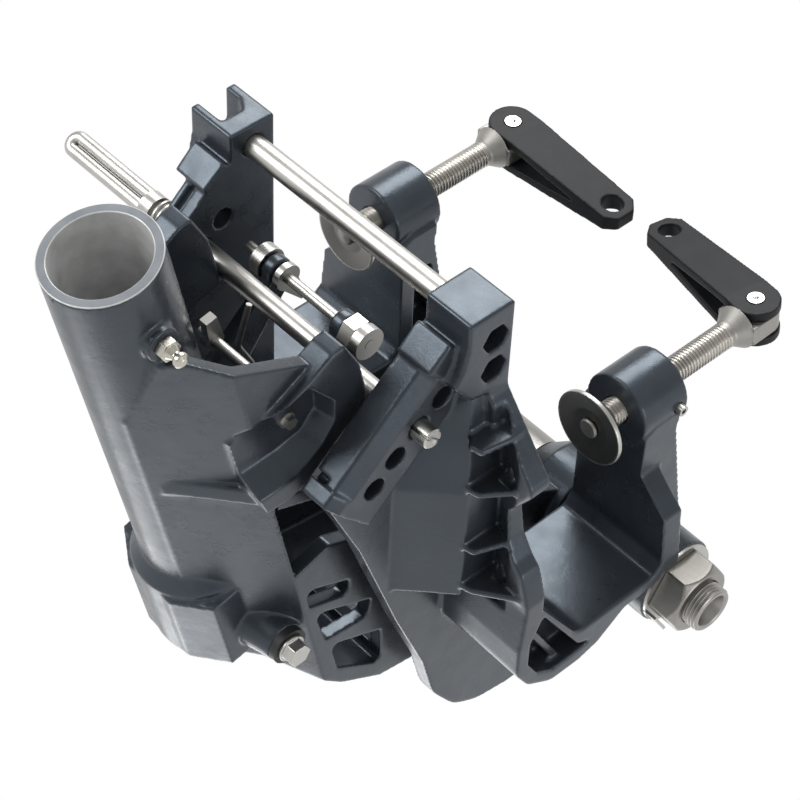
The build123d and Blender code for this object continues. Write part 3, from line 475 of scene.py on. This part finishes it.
def threadRadii(along, look, fade):
    # The radius is the crest less a wave of the thread's depth. The wave's angle is the place along
    # the axis in pitches, as a full turn each, less the turn angle, and it fades out at the ends.
    turn = np.linspace(0, 2 * pi, look["sides"], endpoint=False)
    phase = 2 * pi * along[:, None] / look["pitch"] - turn[None, :]
    return look["crest"] - look["depth"] * (0.5 - 0.5 * np.cos(phase)) * fade[:, None]


def makeThreadedShank(name, side, look):
    along = np.arange(look["start"], look["end"], look["pitch"] / look["samples"])
    fadeIn = np.clip((along - look["start"]) / look["runout"], 0, 1)
    fadeOut = np.clip((look["end"] - along) / look["runout"], 0, 1)
    outer = threadRadii(along, look, fadeIn * fadeOut)
    outer = np.minimum(outer, look["crest"] - look["taper"] + (along - look["start"])[:, None])
    inner = np.full((2, look["sides"]), look["core"] - look["overlap"])
    along = np.concatenate((along, (look["end"], look["start"])))
    middle = (side * look["x"], 0, look["z"])
    return profileSheet(name, along, np.concatenate((outer, inner)), look["sides"], "y", middle)


def thinCore(piece, side, look):
    # The shank inside the thread shrinks to the core radius
    points = readPoints(piece.data)
    dx, dz = points[:, 0] / mm - side * look["x"], points[:, 2] / mm - look["z"]
    y, radius = points[:, 1] / mm, np.hypot(dx, dz)
    inside = (y > look["start"] + look["margin"]) & (y < look["end"] - look["margin"])
    inside &= (radius > look["core"]) & (radius < look["crest"] + look["reach"])
    scale = np.where(inside, look["core"] / np.maximum(radius, 0.1), 1)
    points[:, 0] = (side * look["x"] + dx * scale) * mm
    points[:, 2] = (look["z"] + dz * scale) * mm
    writePoints(piece.data, points)


for side, hand in ((-1, "port"), (1, "starboard")):
    eye = roundedCopy(
        "clamp_screw_" + hand, hand + "ScrewEye", "screw_" + hand, forgedSteel, *clampScrews["eyeRounding"]
    )
    thinCore(eye, side, clampScrews)
    shank = makeThreadedShank(hand + "ThreadedShank", side, clampScrews)
    shank.data.materials.append(threadSteel)
    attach(shank, "screw_" + hand)
    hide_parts("clamp_screw_" + hand)
    roundedCopy(
        "clamp_handle_" + hand, hand + "Handle", "handle_" + hand,
        finishes["handle_black"], *clampScrews["handleRounding"],
    )
    nodes["handle_pin_" + hand].data.materials[0] = rivetSteel
    pad = roundedCopy(
        "clamp_pad_" + hand, hand + "Pad", "pad_" + hand, finishes["stainless"], *clampScrews["padRounding"]
    )
    # The dish's inside is darker than its rim
    pad.data.materials.append(darkSteel)
    centres, normals = readFaces(pad.data)
    away = np.hypot(centres[:, 0] - side * clampScrews["x"], centres[:, 2] - clampScrews["z"])
    inDish = (away < clampScrews["dishRadius"]) & (normals[:, 1] < clampScrews["dishFacing"])
    pad.data.polygons.foreach_set("material_index", inDish.astype(np.int32))

print("clamp screws, handles and pads made")

# Tilt tube with threaded ends, and its nuts

tiltTube = {
    "crest": 11.1,
    "bore": 8.0,
    "half": 127.5,
    "threadFrom": 106.0,
    "pitch": 1.8,
    "depth": 0.9,
    "chamfer": 0.9,
    "boreChamfer": 0.8,
    "edgeBand": 0.2,       # narrow rows that keep the flat end's edges crisp
    "runout": 1.5,
    "samples": 9,
    "plainRows": 12,
    "sides": 96,
}


def makeTiltTube(look):
    half, start, bore, band = look["half"], look["threadFrom"], look["bore"], look["edgeBand"]
    fine = np.arange(start, half, look["pitch"] / look["samples"])
    plain = np.linspace(-start + 1, start - 1, look["plainRows"])
    along = np.concatenate(((-half,), -fine[::-1], plain, fine, (half,)))
    outer = threadRadii(along, look, np.clip((np.abs(along) - start) / look["runout"], 0, 1))
    cone = look["crest"] - np.clip(look["chamfer"] - (half - np.abs(along)), 0, None)[:, None]
    outer = np.minimum(outer, cone)
    # The flat end and the bore's edge, then the same again backwards
    boreEdge = bore + look["boreChamfer"]
    endRadii = (look["crest"] - look["chamfer"] - band, boreEdge + band, boreEdge, bore)
    endPlaces = (half, half, half, half - look["boreChamfer"])
    inner = np.repeat(np.array((*endRadii, *endRadii[::-1]))[:, None], look["sides"], axis=1)
    along = np.concatenate((along, endPlaces, [-place for place in endPlaces[::-1]]))
    return profileSheet("threadedTiltTube", along, np.concatenate((outer, inner)), look["sides"], "x")


tube = makeTiltTube(tiltTube)
tube.data.materials.append(finishes["plain_steel"])
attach(tube, "clamp_brackets")
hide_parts("tilt_tube")

smallFittings = (
    # node, piece, body, finish, voxel, smoothing rounds
    ("tilt_tube_nuts", "roundedTubeNuts", "clamp_brackets", nutSteel, 0.45, 3),
    ("side_bolt", "flangedSideBolt", "swivel", finishes["stainless"], 0.3, 2),
    ("steering_grease_nipple", "greaseNipple", "swivel", finishes["nipple_brass"], 0.2, 2),
)
for fitting in smallFittings:
    roundedCopy(*fitting)

print("tilt tube, nuts and small fittings made")

# Floor

bpy.ops.mesh.primitive_plane_add(size=studio["floorSize"], location=(0, 0, studio["floorHeight"]))
floor = bpy.context.object
floor.name = "paleFloor"
floor.data.materials.append(floorFinish)
